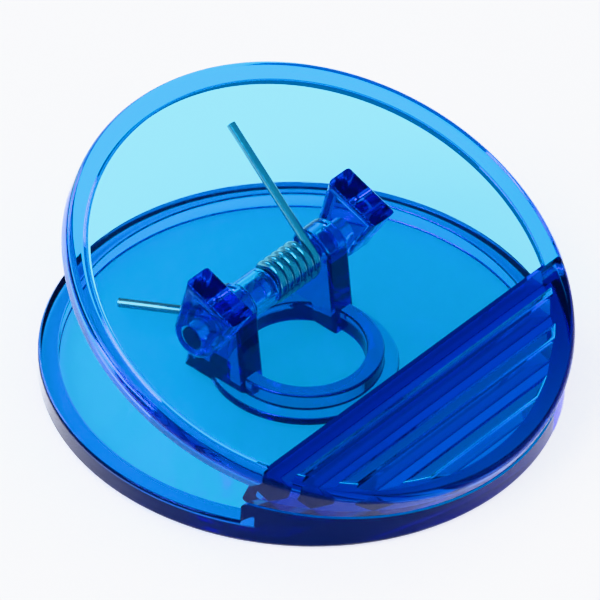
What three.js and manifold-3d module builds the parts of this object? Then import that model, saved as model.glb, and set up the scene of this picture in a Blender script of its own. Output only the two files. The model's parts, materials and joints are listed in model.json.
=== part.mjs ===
// Round spring clip: two clear plates hinged on a pin near their middles, closed by a torsion spring.
// Units are millimetres. Origin: centre of the lower plate's bottom face. +Z is up, the hinge axis
// runs along X, the jaw is on the -Y side and the finger side is on the +Y side.

import * as THREE from 'three';
import { mergeVertices } from 'three/addons/utils/BufferGeometryUtils.js';
import Module from 'manifold-3d';

// ---- driving dimensions ----
const plateRadius = 37.5;
const rimWall = 3.0;
const lower = { web: 1.8, rimHeight: 4.1, jawSlots: [] };
const upper = {
  web: 1.0,
  rimHeight: 3.0,
  jawSlots: [                     // between its ribs, as distances from the plate's centre
    { from: 20.7, to: 21.7 },
    { from: 25.2, to: 27.1 },
    { from: 30.6, to: 32.5 },
  ],
};
const outerChamfer = 0.9;         // round each plate's outer face
const lipChamfer = 0.5;           // round the lip of the rim wall

const hinge = { y: 5.9, z: 13.7 };
const openAngle = THREE.MathUtils.degToRad(20.1);   // tilt of the upper plate when the jaw is shut
const axisToFace = 9.0;           // hinge axis to the upper plate's outer face
const axisOffset = 6.4;           // hinge axis foot to the upper plate's centre, along the plate

const pinRadius = 1.7;
const fitGap = 0.3;
const lugHeadRadius = 3.6;
const footDepth = 0.2;            // how far lugs and seat reach into the web
const lowerLug = { inner: 7.6, outer: 12.0, baseNear: 0.4, baseFar: 12.0 };
const upperLug = { inner: 12.5, outer: 17.8, baseNear: 4.8, baseFar: 4.7 };

// The jaw is a wedge beyond a chord of each plate, ribbed on the upper one and solid on the lower.
// Its face lies on the plane that halves the angle between the plates, which meets each rim's plane
// at apex from the plate's centre.
const jaw = { chord: 17.4, apex: 37.9, halfAngle: openAngle / 2, halfGap: 0.15, leadIn: 1.2 };

const seat = { wallInner: 9.0, wallOuter: 11.5, top: 5.1, stepOuter: 13.7, stepTop: 2.8 };

const spring = { wire: 1.4, coilRadius: 2.55, from: -2.0, to: 7.0 };
const spacer = { from: -7.3, to: -2.3, outer: 2.95 };
const roundSteps = 96;
const smallSteps = 28;
const halfHole = 20;              // the pin holes are cut from x = -20 to x = 20

const wasm = await Module();
wasm.setup();

// ---- solids and geometry ----
function toSolid(geometry) {
  const bare = geometry.clone();
  bare.deleteAttribute('normal');
  bare.deleteAttribute('uv');
  const merged = mergeVertices(bare, 1e-4);
  return new wasm.Manifold(new wasm.Mesh({
    numProp: 3,
    vertProperties: new Float32Array(merged.attributes.position.array),
    triVerts: new Uint32Array(merged.index.array),
  }));
}

function toGeometry(solid) {
  const mesh = solid.getMesh();
  const geometry = new THREE.BufferGeometry();
  geometry.setAttribute('position', new THREE.BufferAttribute(mesh.vertProperties, 3));
  geometry.setIndex(new THREE.BufferAttribute(mesh.triVerts, 1));
  geometry.computeVertexNormals();
  return geometry;
}

// Turns a closed (radius, height) outline about Z; side -1 draws it downwards.
function turned(points, side = 1) {
  const outline = points.map(([radius, height]) => new THREE.Vector2(radius, side * height));
  if (side < 0) outline.reverse();
  const geometry = new THREE.LatheGeometry(outline, roundSteps);
  geometry.rotateX(Math.PI / 2);
  return toSolid(geometry);
}

// Extrudes a shape drawn in the YZ plane from x = from to x = to.
function acrossX(shape, from, to) {
  const geometry = new THREE.ExtrudeGeometry(shape, {
    depth: to - from, bevelEnabled: false, curveSegments: smallSteps,
  });
  geometry.rotateX(Math.PI / 2);
  geometry.rotateZ(Math.PI / 2);
  geometry.translate(from, 0, 0);
  return toSolid(geometry);
}

function box(size, centre) {
  const geometry = new THREE.BoxGeometry(...size);
  geometry.translate(...centre);
  return toSolid(geometry);
}

function rodAlongX(radius, from, to, y, z) {
  const geometry = new THREE.CylinderGeometry(radius, radius, to - from, smallSteps);
  geometry.rotateZ(Math.PI / 2);
  geometry.translate((from + to) / 2, y, z);
  return toSolid(geometry);
}

// The jaw: a wedge beyond the chord, its slots cut down to the web and ending at the rim wall.
function jawWedge(plate, side) {
  const slope = Math.tan(jaw.halfAngle);
  const face = (distance) => plate.rimHeight - jaw.halfGap + (jaw.apex - distance) * slope;
  const beyond = plateRadius + 1;
  const outline = new THREE.Shape();
  outline.moveTo(-jaw.chord, side * 0.1);
  outline.lineTo(-jaw.chord, side * (face(jaw.chord) - jaw.leadIn));
  outline.lineTo(-jaw.chord - jaw.leadIn, side * face(jaw.chord + jaw.leadIn));
  outline.lineTo(-beyond, side * face(beyond));
  outline.lineTo(-beyond, side * 0.1);
  outline.closePath();
  const tall = 3 * plate.rimHeight;
  const rim = turned([
    [0, 0], [plateRadius - outerChamfer, 0], [plateRadius, outerChamfer], [plateRadius, tall], [0, tall],
  ], side);
  const field = turned([
    [0, plate.web], [plateRadius - rimWall, plate.web], [plateRadius - rimWall, tall], [0, tall],
  ], side);
  let wedge = acrossX(outline, -plateRadius, plateRadius).intersect(rim);
  for (const slot of plate.jawSlots) {
    const width = slot.to - slot.from;
    const cutter = box([2 * plateRadius, width, 4 * tall], [0, -slot.from - width / 2, 0]);
    wedge = wedge.subtract(cutter.intersect(field));
  }
  return wedge;
}

// A round tray: flat web from height 0, rim wall and jaw; side -1 faces it downwards.
function tray(plate, side) {
  const inner = plateRadius - rimWall;
  const dish = turned([
    [0, 0], [plateRadius - outerChamfer, 0], [plateRadius, outerChamfer],
    [plateRadius, plate.rimHeight - lipChamfer], [plateRadius - lipChamfer, plate.rimHeight],
    [inner, plate.rimHeight], [inner, plate.web], [0, plate.web],
  ], side);
  return dish.add(jawWedge(plate, side));
}

// A lug outline in the YZ plane: straight foot from near to far at height foot, round head on the pin.
function lugShape(near, far, foot, headY, headZ) {
  const shape = new THREE.Shape();
  const up = Math.sign(headZ - foot);
  const lean = 0.25;
  shape.moveTo(near, foot);
  shape.lineTo(far, foot);
  const start = up * lean;
  const end = Math.PI - up * lean;
  shape.lineTo(headY + lugHeadRadius * Math.cos(start), headZ + lugHeadRadius * Math.sin(start));
  shape.absarc(headY, headZ, lugHeadRadius, start, up > 0 ? end : -Math.PI + lean, up < 0);
  shape.lineTo(near, foot);
  return shape;
}

function lugPair(lug, shape) {
  const right = acrossX(shape, lug.inner, lug.outer);
  const left = acrossX(shape, -lug.outer, -lug.inner);
  return right.add(left);
}

// ---- lower plate ----
function makeLowerPlate() {
  const foot = lower.web - footDepth;
  const ring = turned([
    [seat.wallInner, foot], [seat.stepOuter, foot],
    [seat.stepOuter, seat.stepTop], [seat.wallOuter, seat.stepTop],
    [seat.wallOuter, seat.top], [seat.wallInner, seat.top],
    [seat.wallInner, foot],
  ]);
  const shape = lugShape(lowerLug.baseNear, lowerLug.baseFar, foot, hinge.y, hinge.z);
  const holes = rodAlongX(pinRadius + fitGap, -halfHole, halfHole, hinge.y, hinge.z);
  return tray(lower, 1).add(ring).add(lugPair(lowerLug, shape)).subtract(holes);
}

// ---- upper plate: drawn with its outer face at height 0 and its inside downwards ----
function makeUpperPlate() {
  const foot = -(upper.web - footDepth);
  const shape = lugShape(
    axisOffset - upperLug.baseNear, axisOffset + upperLug.baseFar, foot, axisOffset, -axisToFace,
  );
  const holes = rodAlongX(pinRadius + fitGap, -halfHole, halfHole, axisOffset, -axisToFace);
  return tray(upper, -1).add(lugPair(upperLug, shape)).subtract(holes);
}

// ---- spring: one wire path, lower leg, coil and upper leg ----
const pathPoint = (x, y, z) => new THREE.Vector3(x, y, z);

// Turns (x, along, height) in the upper plate's own frame into the object's frame.
function fromUpperPlate(x, along, height) {
  const cos = Math.cos(openAngle);
  const sin = Math.sin(openAngle);
  const s = along - axisOffset;
  const n = height + axisToFace;
  return pathPoint(x, hinge.y + s * cos - n * sin, hinge.z + s * sin + n * cos);
}

function tube(points, radius, steps) {
  const profile = new THREE.Shape();
  profile.absarc(0, 0, radius, 0, 2 * Math.PI);
  const curve = new THREE.CatmullRomCurve3(points, false, 'centripetal');
  const geometry = new THREE.ExtrudeGeometry(profile, {
    steps, extrudePath: curve, bevelEnabled: false, curveSegments: 4,
  });
  return toSolid(geometry);
}

function makeSpring() {
  const outer = spring.coilRadius + spring.wire / 2;
  const inner = spring.coilRadius - spring.wire / 2;
  const coil = rodAlongX(outer, spring.from, spring.to, hinge.y, hinge.z)
    .subtract(rodAlongX(inner, spring.from - 1, spring.to + 1, hinge.y, hinge.z));
  const half = spring.wire / 2;
  const lowerLeg = tube([
    pathPoint(spring.from + half, hinge.y, hinge.z - spring.coilRadius),
    pathPoint(-1.9, 8.6, 9.0),
    pathPoint(-3.1, 12.7, 5.1),
    pathPoint(-9.3, 26.7, lower.web + fitGap + half),
  ], half, 24);
  const upperLeg = tube([
    fromUpperPlate(spring.to - half, axisOffset, -axisToFace + spring.coilRadius),
    fromUpperPlate(8.9, 26.7, -upper.web - fitGap - half),
  ], half, 8);
  return coil.add(lowerLeg).add(upperLeg);
}

// ---- materials ----
const clearBlue = new THREE.MeshStandardMaterial({
  color: 0x1284d8, roughness: 0.06, metalness: 0, transparent: true, opacity: 0.45,
});
const pinBlue = new THREE.MeshStandardMaterial({
  color: 0x1b63c4, roughness: 0.1, metalness: 0, transparent: true, opacity: 0.6,
});
const springSteel = new THREE.MeshStandardMaterial({ color: 0xc9d2da, roughness: 0.22, metalness: 1 });

function part(name, solid, material) {
  const mesh = new THREE.Mesh(toGeometry(solid), material);
  mesh.name = name;
  return mesh;
}

// ---- assembly ----
const clip = new THREE.Group();
clip.add(part('lower_plate', makeLowerPlate(), clearBlue));

const upperFrame = new THREE.Group();
const upperOrigin = fromUpperPlate(0, 0, 0);
upperFrame.position.copy(upperOrigin);
upperFrame.rotation.x = openAngle;
upperFrame.add(part('upper_plate', makeUpperPlate(), clearBlue));
clip.add(upperFrame);

const pin = rodAlongX(pinRadius, -upperLug.outer, upperLug.outer, hinge.y, hinge.z);
clip.add(part('hinge_pin', pin, pinBlue));

const spacerTube = rodAlongX(spacer.outer, spacer.from, spacer.to, hinge.y, hinge.z)
  .subtract(rodAlongX(pinRadius + fitGap, spacer.from - 1, spacer.to + 1, hinge.y, hinge.z));
clip.add(part('spring_spacer', spacerTube, clearBlue));

clip.add(part('torsion_spring', makeSpring(), springSteel));

export default clip;
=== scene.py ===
import json
import math

import bmesh
import bpy
from mathutils import Matrix, Vector


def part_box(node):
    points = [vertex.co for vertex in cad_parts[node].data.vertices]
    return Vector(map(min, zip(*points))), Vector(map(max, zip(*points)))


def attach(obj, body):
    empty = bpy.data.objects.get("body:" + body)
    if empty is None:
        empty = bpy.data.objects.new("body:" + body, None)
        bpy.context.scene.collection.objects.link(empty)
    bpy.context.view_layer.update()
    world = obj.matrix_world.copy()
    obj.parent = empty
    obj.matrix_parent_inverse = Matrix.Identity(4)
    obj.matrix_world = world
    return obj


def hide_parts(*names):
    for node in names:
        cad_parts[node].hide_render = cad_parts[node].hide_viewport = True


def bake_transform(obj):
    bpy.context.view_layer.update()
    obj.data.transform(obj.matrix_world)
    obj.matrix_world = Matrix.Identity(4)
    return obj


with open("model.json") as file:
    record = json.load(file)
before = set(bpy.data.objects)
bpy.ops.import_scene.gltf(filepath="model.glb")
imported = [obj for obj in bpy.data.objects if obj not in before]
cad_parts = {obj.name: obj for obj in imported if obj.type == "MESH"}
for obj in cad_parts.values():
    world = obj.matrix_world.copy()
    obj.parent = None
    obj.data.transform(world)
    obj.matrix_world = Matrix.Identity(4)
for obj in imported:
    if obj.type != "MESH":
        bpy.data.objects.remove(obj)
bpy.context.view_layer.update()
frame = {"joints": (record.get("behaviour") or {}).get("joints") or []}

# Round spring clip: two clear blue plates, a pin, a sleeve and a torsion spring.
# Every length below is in millimetres in the part's own frame and becomes metres in makePiece().

hingeAt = Vector(frame["joints"][0]["pos_m"]) * 1000
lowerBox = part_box("lower_plate")
plateRadius = lowerBox[1].x * 1000

print("frame loaded, plate radius", round(plateRadius, 2), "mm")

def makePiece(name, mesh, material):
    # scales a millimetre mesh to metres and makes it an object
    mesh.transform(Matrix.Scale(0.001, 4))
    piece = bpy.data.objects.new(name, mesh)
    bpy.context.scene.collection.objects.link(piece)
    mesh.materials.clear()
    mesh.materials.append(material)
    return piece


def meshFrom(vertices, faces):
    # closed mesh with doubled points merged and its faces turned outwards
    mesh = bpy.data.meshes.new("shape")
    mesh.from_pydata(vertices, [], faces)
    work = bmesh.new()
    work.from_mesh(mesh)
    bmesh.ops.remove_doubles(work, verts=work.verts, dist=1e-5)
    bmesh.ops.recalc_face_normals(work, faces=work.faces)
    work.to_mesh(mesh)
    work.free()
    return mesh


def roundCorners(corners, steps=6):
    # corners are (a, b, fillet radius); each corner with a radius becomes an arc
    outline = []
    count = len(corners)
    for i, (a, b, radius) in enumerate(corners):
        here = Vector((a, b))
        if radius <= 0:
            outline.append(here)
            continue
        before = (Vector(corners[i - 1][:2]) - here).normalized()
        after = (Vector(corners[(i + 1) % count][:2]) - here).normalized()
        halfAngle = before.angle(after) / 2
        reach = radius / math.tan(halfAngle)
        centre = here + (before + after).normalized() * radius / math.sin(halfAngle)
        first = here + before * reach - centre
        last = here + after * reach - centre
        sweep = first.angle_signed(last)
        for k in range(steps + 1):
            turn = Matrix.Rotation(-sweep * k / steps, 2)
            outline.append(centre + turn @ first)
    return outline


def turned(corners, steps=256, arcSteps=6):
    # closed outline of (radius, height, fillet), turned about Z
    outline = roundCorners(corners, arcSteps)
    rings = len(outline)
    vertices = []
    for k in range(steps):
        angle = 2 * math.pi * k / steps
        for point in outline:
            vertices.append((point.x * math.cos(angle), point.x * math.sin(angle), point.y))
    faces = []
    for k in range(steps):
        nextK = (k + 1) % steps
        for i in range(rings):
            nextI = (i + 1) % rings
            faces.append((k * rings + i, k * rings + nextI, nextK * rings + nextI, nextK * rings + i))
    return meshFrom(vertices, faces)


def acrossX(corners, fromX, toX, edge=0.0, arcSteps=6):
    # outline of (y, z, fillet) extruded along X, with its two end rims rounded by edge
    outline = roundCorners(corners, arcSteps)
    count = len(outline)
    vertices = [(fromX, p.x, p.y) for p in outline] + [(toX, p.x, p.y) for p in outline]
    faces = [tuple(range(count)), tuple(range(count, 2 * count))]
    for i in range(count):
        k = (i + 1) % count
        faces.append((i, k, count + k, count + i))
    mesh = meshFrom(vertices, faces)
    if edge > 0:
        work = bmesh.new()
        work.from_mesh(mesh)
        rims = [e for e in work.edges if abs(e.verts[0].co.x - e.verts[1].co.x) < 1e-6]
        bmesh.ops.bevel(work, geom=rims, offset=edge, segments=4, profile=0.5, affect="EDGES")
        work.to_mesh(mesh)
        work.free()
    return mesh


def combine(base, other, how):
    # how is UNION, DIFFERENCE or INTERSECT
    baseObject = bpy.data.objects.new("base", base)
    otherObject = bpy.data.objects.new("other", other)
    for item in (baseObject, otherObject):
        bpy.context.scene.collection.objects.link(item)
    cut = baseObject.modifiers.new("cut", "BOOLEAN")
    cut.operation = how
    cut.solver = "MANIFOLD"
    cut.object = otherObject
    bpy.context.view_layer.update()
    graph = bpy.context.evaluated_depsgraph_get()
    result = bpy.data.meshes.new_from_object(baseObject.evaluated_get(graph))
    bpy.data.objects.remove(baseObject)
    bpy.data.objects.remove(otherObject)
    return result


def smoothByAngle(mesh, degrees=28):
    # smooth fillets, with normals weighted by area so that the flats stay flat
    mesh.shade_smooth()
    mesh.set_sharp_from_angle(angle=math.radians(degrees))
    holder = bpy.data.objects.new("holder", mesh)
    bpy.context.scene.collection.objects.link(holder)
    weigh = holder.modifiers.new("weigh", "WEIGHTED_NORMAL")
    weigh.keep_sharp = True
    weigh.weight = 100
    bpy.context.view_layer.update()
    graph = bpy.context.evaluated_depsgraph_get()
    result = bpy.data.meshes.new_from_object(holder.evaluated_get(graph))
    bpy.data.objects.remove(holder)
    return result


def linearColour(hexText):
    # sRGB hex to linear, with alpha 1
    channels = [int(hexText[i:i + 2], 16) / 255 for i in (0, 2, 4)]
    return [c / 12.92 if c <= 0.04045 else ((c + 0.055) / 1.055) ** 2.4 for c in channels] + [1.0]


def addNode(material, kind, settings=None, links=None):
    # settings: socket or property name to value; links: socket name to an output socket
    node = material.node_tree.nodes.new(kind)
    for key, value in (settings or {}).items():
        if key in node.inputs:
            node.inputs[key].default_value = value
        else:
            setattr(node, key, value)
    for key, output in (links or {}).items():
        material.node_tree.links.new(output, node.inputs[key])
    return node


def newMaterial(name):
    material = bpy.data.materials.new(name)
    material.use_nodes = True
    material.node_tree.nodes.clear()
    return material


# Moulded general-purpose polystyrene, dyed blue: glossy, bends light strongly (IOR 1.59),
# pale where it is thin and deep blue where it is thick.
polystyrene = {
    "ior": 1.59,
    "roughness": 0.015,
    "glossTint": "5a78ff",
    "takenPerMetre": (1300.0, 290.0, 78.0),   # red, green, blue
    "waveMm": 9.0,                           # flow ripples of the moulding
    "waveDepthMm": 0.012,
    "scuffMm": 1.6,                          # handling scuffs
}


def mouldedPolystyrene(name, strength=1.0):
    values = polystyrene
    material = newMaterial(name)
    place = addNode(material, "ShaderNodeTexCoord")
    ripple = addNode(material, "ShaderNodeTexNoise",
                     {"Scale": 1000 / values["waveMm"], "Detail": 1.0, "Roughness": 0.4},
                     {"Vector": place.outputs["Object"]})
    bump = addNode(material, "ShaderNodeBump",
                   {"Strength": 1.0, "Distance": values["waveDepthMm"] / 1000},
                   {"Height": ripple.outputs["Fac"]})
    scuff = addNode(material, "ShaderNodeTexNoise",
                    {"Scale": 1000 / values["scuffMm"], "Detail": 3.0, "Roughness": 0.6},
                    {"Vector": place.outputs["Object"]})
    rough = addNode(material, "ShaderNodeMapRange",
                    {"From Min": 0.45, "From Max": 0.8,
                     "To Min": values["roughness"], "To Max": values["roughness"] + 0.05},
                    {"Value": scuff.outputs["Fac"]})
    body = addNode(material, "ShaderNodeBsdfPrincipled",
                   {"Base Color": (1, 1, 1, 1), "IOR": values["ior"], "Transmission Weight": 1.0,
                    "Specular Tint": linearColour(values["glossTint"])},
                   {"Roughness": rough.outputs["Result"], "Normal": bump.outputs["Normal"]})
    taken = [value * strength for value in values["takenPerMetre"]]
    density = max(taken)
    dye = addNode(material, "ShaderNodeVolumeAbsorption",
                  {"Color": [1 - value / density for value in taken] + [1.0], "Density": density})
    addNode(material, "ShaderNodeOutputMaterial", {},
            {"Surface": body.outputs["BSDF"], "Volume": dye.outputs["Volume"]})
    return material


# Drawn spring steel wire: bright, with fine lines along the wire from the die.
springWire = {"colour": "8b929a", "roughness": 0.1}


def drawnSpringSteel():
    values = springWire
    material = newMaterial("drawn spring steel")
    place = addNode(material, "ShaderNodeTexCoord")
    stretch = addNode(material, "ShaderNodeMapping", {"Scale": (24.0, 6.0, 1.0)},
                      {"Vector": place.outputs["UV"]})
    lines = addNode(material, "ShaderNodeTexNoise", {"Scale": 1.0, "Detail": 2.0},
                    {"Vector": stretch.outputs["Vector"]})
    rough = addNode(material, "ShaderNodeMapRange",
                    {"From Min": 0.3, "From Max": 0.7,
                     "To Min": values["roughness"] - 0.05, "To Max": values["roughness"] + 0.1},
                    {"Value": lines.outputs["Fac"]})
    bump = addNode(material, "ShaderNodeBump", {"Strength": 0.3, "Distance": 0.00001},
                   {"Height": lines.outputs["Fac"]})
    body = addNode(material, "ShaderNodeBsdfPrincipled",
                   {"Base Color": linearColour(values["colour"]), "Metallic": 1.0},
                   {"Roughness": rough.outputs["Result"], "Normal": bump.outputs["Normal"]})
    addNode(material, "ShaderNodeOutputMaterial", {}, {"Surface": body.outputs["BSDF"]})
    return material


upperPlastic = mouldedPolystyrene("moulded polystyrene, blue, upper")
lowerPlastic = mouldedPolystyrene("moulded polystyrene, blue, lower")
pinPlastic = mouldedPolystyrene("moulded polystyrene, blue, pin", 1.3)
steel = drawnSpringSteel()

plate = {
    "rimWall": 3.0,
    "outerFillet": 1.1,      # round the flat outer face
    "lipFillet": 0.5,
    "floorFillet": 0.5,      # between the rim wall and the web
    "lugHeadRadius": 3.6,
    "pinHole": 2.0,
    "holeReach": 20,         # the holes are cut from x = -20 to x = 20
    "footDepth": 0.2,        # how far lugs and seat reach into the web
}

# each jaw is a wedge beyond a chord, whose face lies halfway between the two plates
jaw = {
    "chord": 17.4,
    "apex": 37.9,
    "halfAngle": 10.05,
    "halfGap": 0.15,
    "noseFillet": 0.8,
    "tipFillet": 0.2,
    "shoulderFillet": 0.15,
    "slotFillet": 0.48,
    "foot": 0.6,             # below the fillet, where the wedge is cut off
    "ribFoot": 0.1,
    "ribOverlap": 0.3,       # how far the ribs reach into the rim wall
    "beyond": 50,            # well outside the plate, and cut off by it
}


def jawFace(part, distance):
    slope = math.tan(math.radians(jaw["halfAngle"]))
    return part["rimHeight"] - jaw["halfGap"] + (jaw["apex"] - distance) * slope


def jawRibs(part):
    # ribs along X with ridged tips, standing on the web
    ribs = part["ribs"]
    first = ribs[0][0]
    last = ribs[-1][1]
    outline = [(-first, jaw["ribFoot"], 0)]
    for near, far in ribs:
        middle = (near + far) / 2
        drop = (far - near) / 2
        if near > first:
            outline.append((-near, part["web"], jaw["slotFillet"]))
        outline.append((-near, jawFace(part, near) - drop, jaw["shoulderFillet"]))
        outline.append((-middle, jawFace(part, middle), jaw["tipFillet"]))
        outline.append((-far, jawFace(part, far) - drop, jaw["shoulderFillet"]))
        if far < last:
            outline.append((-far, part["web"], jaw["slotFillet"]))
    outline.append((-last, jaw["ribFoot"], 0))
    return acrossX(outline, -jaw["beyond"], jaw["beyond"], 0, 4)


def tray(part):
    # flat web from height 0, rim wall, and the jaw on the -Y side
    inner = plateRadius - plate["rimWall"]
    web = part["web"]
    rimHeight = part["rimHeight"]
    mesh = turned([
        (0, 0, 0), (plateRadius, 0, plate["outerFillet"]), (plateRadius, rimHeight, plate["lipFillet"]),
        (inner, rimHeight, plate["lipFillet"]), (inner, web, plate["floorFillet"]), (0, web, 0),
    ])
    # the wedge, solid as a whole or only over the rim wall where the plate has ribs
    tall = 3 * rimHeight
    chord = jaw["chord"]
    beyond = jaw["beyond"]
    foot = jaw["foot"]
    wedge = acrossX([
        (-chord, foot, 0), (-chord, jawFace(part, chord), jaw["noseFillet"]),
        (-beyond, jawFace(part, beyond), 0), (-beyond, foot, 0),
    ], -beyond, beyond)
    wallFrom = inner if part["ribs"] else 0
    start = plate["outerFillet"]
    room = turned([
        (wallFrom, start, 0), (plateRadius, start, 0), (plateRadius, tall, 0), (wallFrom, tall, 0),
    ])
    mesh = combine(mesh, combine(wedge, room, "INTERSECT"), "UNION")
    if part["ribs"]:
        reach = inner + jaw["ribOverlap"]
        field = turned([(0, 0, 0), (reach, 0, 0), (reach, tall, 0), (0, tall, 0)])
        mesh = combine(mesh, combine(jawRibs(part), field, "INTERSECT"), "UNION")
    return mesh


def lugOutline(near, far, foot, headY, headZ):
    # straight-sided lug with a round head on the pin
    radius = plate["lugHeadRadius"]
    up = 1 if headZ > foot else -1
    lean = 0.25
    corners = [(near, foot, 0), (far, foot, 0)]
    arcSteps = 24
    for k in range(arcSteps + 1):
        angle = up * (lean + (math.pi - 2 * lean) * k / arcSteps)
        corners.append((headY + radius * math.cos(angle), headZ + radius * math.sin(angle), 0))
    return corners


def addLugs(mesh, lug, outline):
    for fromX, toX in ((lug["inner"], lug["outer"]), (-lug["outer"], -lug["inner"])):
        mesh = combine(mesh, acrossX(outline, fromX, toX, lug["edge"]), "UNION")
    return mesh


def roundRod(radius, fromX, toX, y, z, edge=0.0, sides=64):
    corners = []
    for k in range(sides):
        angle = 2 * math.pi * k / sides
        corners.append((y + radius * math.cos(angle), z + radius * math.sin(angle), 0))
    return acrossX(corners, fromX, toX, edge)


lower = {
    "web": 1.8,
    "rimHeight": 4.1,
    "ribs": [],
    "lug": {"inner": 7.6, "outer": 12.0, "edge": 0.6},
    "lugNear": 0.4,
    "lugFar": 12.0,
    "seatInner": 9.0,
    "seatOuter": 11.5,
    "seatTop": 5.1,
    "stepOuter": 13.7,
    "stepTop": 2.8,
}


def makeLowerPlate():
    mesh = tray(lower)
    foot = lower["web"] - plate["footDepth"]
    reach = plate["holeReach"]
    seat = turned([
        (lower["seatInner"], foot, 0), (lower["stepOuter"], foot, 0),
        (lower["stepOuter"], lower["stepTop"], 0.5), (lower["seatOuter"], lower["stepTop"], 0.3),
        (lower["seatOuter"], lower["seatTop"], 0.5), (lower["seatInner"], lower["seatTop"], 0.4),
    ])
    mesh = combine(mesh, seat, "UNION")
    outline = lugOutline(lower["lugNear"], lower["lugFar"], foot, hingeAt.y, hingeAt.z)
    mesh = addLugs(mesh, lower["lug"], outline)
    mesh = combine(mesh, roundRod(plate["pinHole"], -reach, reach, hingeAt.y, hingeAt.z), "DIFFERENCE")
    return smoothByAngle(mesh)


upper = {
    "web": 1.0,
    "rimHeight": 3.0,
    "ribs": [(17.4, 20.7), (21.7, 25.2), (27.1, 30.6), (32.5, 34.9)],   # distances from its centre
    "tiltDegrees": 20.1,
    "axisToFace": 9.0,
    "axisOffset": 6.4,
    "lug": {"inner": 12.5, "outer": 17.8, "edge": 1.1},
    "lugNear": 4.8,
    "lugFar": 4.7,
    "ejectorMark": {"x": -14.6, "along": 5.8, "radius": 0.9, "width": 0.25, "depth": 0.15},
}


def upperPlace():
    # matrix from the plate's own frame (outer face at height 0) to the part's frame
    tilt = Matrix.Rotation(math.radians(upper["tiltDegrees"]), 4, "X")
    reach = tilt @ Vector((0, -upper["axisOffset"], upper["axisToFace"]))
    return Matrix.Translation(hingeAt + reach) @ tilt


def makeUpperPlate():
    mesh = tray(upper)
    mesh.transform(Matrix.Scale(-1, 4, (0, 0, 1)))
    mesh.flip_normals()
    foot = -(upper["web"] - plate["footDepth"])
    reach = plate["holeReach"]
    offset = upper["axisOffset"]
    near = offset - upper["lugNear"]
    far = offset + upper["lugFar"]
    outline = lugOutline(near, far, foot, offset, -upper["axisToFace"])
    mesh = addLugs(mesh, upper["lug"], outline)
    hole = roundRod(plate["pinHole"], -reach, reach, offset, -upper["axisToFace"])
    mesh = combine(mesh, hole, "DIFFERENCE")
    mark = upper["ejectorMark"]
    ring = turned([
        (mark["radius"] - mark["width"] / 2, 0.1, 0), (mark["radius"], -mark["depth"], 0.05),
        (mark["radius"] + mark["width"] / 2, 0.1, 0),
    ], 48)
    ring.transform(Matrix.Translation((mark["x"], mark["along"], 0)))
    mesh = combine(mesh, ring, "DIFFERENCE")
    mesh.transform(upperPlace())
    return smoothByAngle(mesh)


lowerPlate = makePiece("lower_plate_clear", makeLowerPlate(), lowerPlastic)
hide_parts("lower_plate")
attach(lowerPlate, "lower")

upperPlate = makePiece("upper_plate_clear", makeUpperPlate(), upperPlastic)
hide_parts("upper_plate")
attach(upperPlate, "upper")
print("plates made")

pin = {"radius": 1.7, "halfLength": 17.8, "edge": 0.3}
pinMesh = roundRod(pin["radius"], -pin["halfLength"], pin["halfLength"], hingeAt.y, hingeAt.z, pin["edge"])
hingePin = makePiece("hinge_pin_clear", smoothByAngle(pinMesh), pinPlastic)
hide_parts("hinge_pin")
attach(hingePin, "upper")

sleeve = {"from": -7.3, "to": -2.3, "outer": 2.95, "hole": 2.0, "edge": 0.25}
sleeveMesh = combine(
    roundRod(sleeve["outer"], sleeve["from"], sleeve["to"], hingeAt.y, hingeAt.z, sleeve["edge"]),
    roundRod(sleeve["hole"], sleeve["from"] - 1, sleeve["to"] + 1, hingeAt.y, hingeAt.z),
    "DIFFERENCE",
)
springSleeve = makePiece("spring_spacer_clear", smoothByAngle(sleeveMesh), lowerPlastic)
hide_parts("spring_spacer")
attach(springSleeve, "lower")
print("pin and sleeve made")

spring = {
    "wireRadius": 0.69,
    "coilRadius": 2.55,
    "startX": -1.3,
    "endX": 6.3,
    "wholeTurns": 5,
    "lowerBend": (-3.1, 13.1, 4.7),
    "lowerTip": (-9.3, 26.7, 2.8),
    "upperTip": (8.9, 26.7, -2.0),     # in the upper plate's own frame
    "bendRadius": 2.0,
    "sides": 20,
}


def leavingAngle(target):
    # direction of target (y, z from the axis), and how far round the coil from it the wire is tangent
    distance = math.hypot(target[0], target[1])
    towards = math.atan2(target[1], target[0])
    spread = math.acos(spring["coilRadius"] / distance)
    return towards, spread


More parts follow.
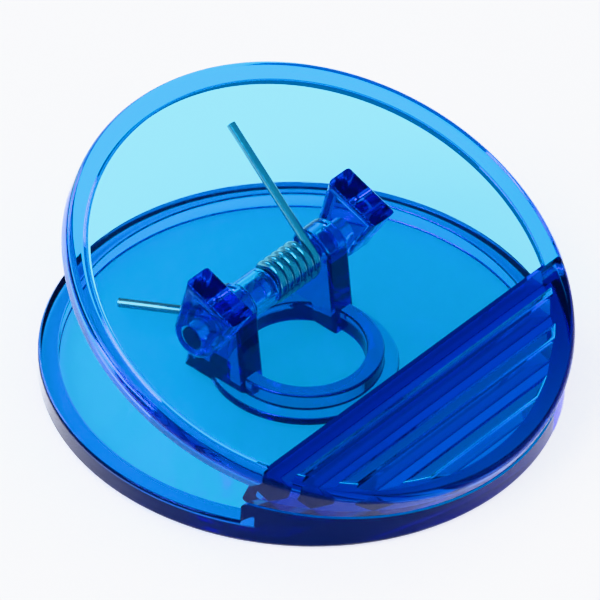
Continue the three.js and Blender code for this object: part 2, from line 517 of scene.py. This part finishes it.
def springPath():
    radius = spring["coilRadius"]
    bend = Vector(spring["lowerBend"])
    tip = Vector(spring["lowerTip"])
    upperTip = upperPlace() @ Vector(spring["upperTip"])
    # both legs run off towards +Y: the lower one from under the coil, the upper one from over it
    towards, spread = leavingAngle((bend.y - hingeAt.y, bend.z - hingeAt.z))
    startAngle = towards - spread
    towards, spread = leavingAngle((upperTip.y - hingeAt.y, upperTip.z - hingeAt.z))
    endAngle = towards + spread
    sweep = (startAngle - endAngle) % (2 * math.pi) + 2 * math.pi * spring["wholeTurns"]
    points = []
    steps = int(sweep / math.radians(7.5))
    for k in range(steps + 1):
        angle = startAngle - sweep * k / steps
        x = spring["startX"] + (spring["endX"] - spring["startX"]) * k / steps
        y = hingeAt.y + radius * math.cos(angle)
        z = hingeAt.z + radius * math.sin(angle)
        points.append(Vector((x, y, z)))
    coilStart, coilEnd = points[0], points[-1]
    # rounded corner between the two straight stretches of the lower leg
    toCoil = (coilStart - bend).normalized()
    toTip = (tip - bend).normalized()
    halfAngle = toCoil.angle(toTip) / 2
    reach = spring["bendRadius"] / math.tan(halfAngle)
    corner = []
    for k in range(9):
        t = k / 8
        a = bend + toTip * reach * (1 - t)
        b = bend + toCoil * reach * t
        corner.append(a.lerp(b, t))
    leg = [tip.lerp(corner[0], k / 10) for k in range(10)] + corner
    leg += [corner[-1].lerp(coilStart, k / 4) for k in range(1, 4)]
    upperLeg = [coilEnd.lerp(upperTip, k / 12) for k in range(1, 13)]
    return leg + points + upperLeg, coilStart, coilEnd


def sweepWire(points, radius, sides):
    # round wire along points, with frames carried along so that it doesn't twist
    vertices = []
    uvs = []
    side = None
    length = 0.0
    count = len(points)
    for i, point in enumerate(points):
        along = (points[min(i + 1, count - 1)] - points[max(i - 1, 0)]).normalized()
        if side is None:
            side = along.orthogonal().normalized()
        side = (side - along * side.dot(along)).normalized()
        other = along.cross(side)
        if i > 0:
            length += (point - points[i - 1]).length
        for k in range(sides):
            angle = 2 * math.pi * k / sides
            vertices.append(point + (side * math.cos(angle) + other * math.sin(angle)) * radius)
        uvs.append(length)
    faces = []
    for i in range(count - 1):
        for k in range(sides):
            n = (k + 1) % sides
            faces.append((i * sides + k, i * sides + n, (i + 1) * sides + n, (i + 1) * sides + k))
    faces.append(tuple(reversed(range(sides))))
    faces.append(tuple(range((count - 1) * sides, count * sides)))
    mesh = bpy.data.meshes.new("wire")
    mesh.from_pydata([tuple(v) for v in vertices], [], faces)
    layer = mesh.uv_layers.new(name="UVMap")
    for polygon in mesh.polygons:
        for loopIndex in polygon.loop_indices:
            vertex = mesh.loops[loopIndex].vertex_index
            layer.data[loopIndex].uv = ((vertex % sides) / sides, uvs[vertex // sides])
    return mesh


path, coilStart, coilEnd = springPath()
springMesh = sweepWire(path, spring["wireRadius"], spring["sides"])
torsionSpring = makePiece("torsion_spring_wire", smoothByAngle(springMesh, 50), steel)
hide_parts("torsion_spring")
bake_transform(torsionSpring)
print("spring made,", len(path), "path points")

studio = {
    "floor": "e6e6e6",
    "floorGlow": 0.7,                   # the table is lit from underneath
    "floorSize": 3.0,
    "skyColour": "f6f8ff",
    "skyStrength": 1.5,
    "dimStrength": 0.55,
    "dimTowards": (0.61, 0.3, 0.73),
    "dimInner": 28.0,
    "dimOuter": 44.0,
    "keyWatts": 12.0,
    "keySize": 0.6,
    "keyAt": (-0.75, 0.25, 0.75),
    "fillWatts": 7.0,
    "fillSize": 0.4,
    "fillAt": (0.05, 0.85, 0.65),
}


def makeFloor():
    half = studio["floorSize"] / 2
    mesh = bpy.data.meshes.new("floor")
    corners = [(-half, -half, 0), (half, -half, 0), (half, half, 0), (-half, half, 0)]
    mesh.from_pydata(corners, [], [(0, 1, 2, 3)])
    floor = bpy.data.objects.new("floor", mesh)
    bpy.context.scene.collection.objects.link(floor)
    floor.location.z = -0.00005
    material = newMaterial("white acrylic shooting table")
    body = addNode(material, "ShaderNodeBsdfPrincipled",
                   {"Base Color": linearColour(studio["floor"]), "Roughness": 0.9,
                    "Specular IOR Level": 0.1, "Emission Color": (1, 1, 1, 1),
                    "Emission Strength": studio["floorGlow"]})
    addNode(material, "ShaderNodeOutputMaterial", {}, {"Surface": body.outputs["BSDF"]})
    mesh.materials.append(material)


def makeLight(name, watts, size, at):
    data = bpy.data.lights.new(name, "AREA")
    data.energy = watts
    data.size = size
    light = bpy.data.objects.new(name, data)
    light.location = at
    light.rotation_euler = (-Vector(at)).to_track_quat("-Z", "Y").to_euler()
    bpy.context.scene.collection.objects.link(light)


makeFloor()
makeLight("key", studio["keyWatts"], studio["keySize"], studio["keyAt"])
makeLight("fill", studio["fillWatts"], studio["fillSize"], studio["fillAt"])

world = bpy.data.worlds.new("soft studio")
bpy.context.scene.world = world
world.use_nodes = True
# a soft dome, dim on the side that the flat webs mirror, so that they stay clear
toDim = Vector(studio["dimTowards"]).normalized()
place = addNode(world, "ShaderNodeTexCoord")
facingDim = addNode(world, "ShaderNodeVectorMath", {"operation": "DOT_PRODUCT"},
                    {"Vector": place.outputs["Generated"]})
facingDim.inputs[1].default_value = toDim
level = addNode(world, "ShaderNodeMapRange", {
    "interpolation_type": "SMOOTHSTEP",
    "From Min": math.cos(math.radians(studio["dimOuter"])),
    "From Max": math.cos(math.radians(studio["dimInner"])),
    "To Min": studio["skyStrength"],
    "To Max": studio["dimStrength"],
}, {"Value": facingDim.outputs["Value"]})
sky = world.node_tree.nodes["Background"]
sky.inputs["Color"].default_value = linearColour(studio["skyColour"])
world.node_tree.links.new(level.outputs["Result"], sky.inputs["Strength"])

camera = {
    "from": (-0.6782, -0.5480, 0.7532),     # metres
    "lens": 487.1,
    "rollDegrees": 2.99,
    "aimRight": -0.00018,                   # metres from the origin, across and up the view
    "aimUp": 0.01032,
}
lens = bpy.data.cameras.new("camera")
lens.lens = camera["lens"]
lens.clip_end = 20
eye = bpy.data.objects.new("camera", lens)
bpy.context.scene.collection.objects.link(eye)
eye.location = camera["from"]
looking = (-Vector(camera["from"])).to_track_quat("-Z", "Y").to_matrix()
roll = Matrix.Rotation(math.radians(camera["rollDegrees"]), 3, looking @ Vector((0, 0, 1)))
aim = roll @ looking @ Vector((camera["aimRight"], camera["aimUp"], 0))
# the camera looks at aim, rolled about its own view
facing = (aim - Vector(camera["from"])).to_track_quat("-Z", "Y").to_matrix()
roll = Matrix.Rotation(math.radians(camera["rollDegrees"]), 3, facing @ Vector((0, 0, 1)))
eye.rotation_euler = (roll @ facing).to_euler()
bpy.context.scene.camera = eye

scene = bpy.context.scene
scene.view_settings.view_transform = "Khronos PBR Neutral"
scene.cycles.max_bounces = 24
scene.cycles.transmission_bounces = 24
scene.cycles.glossy_bounces = 12
scene.cycles.diffuse_bounces = 6
print("studio made")
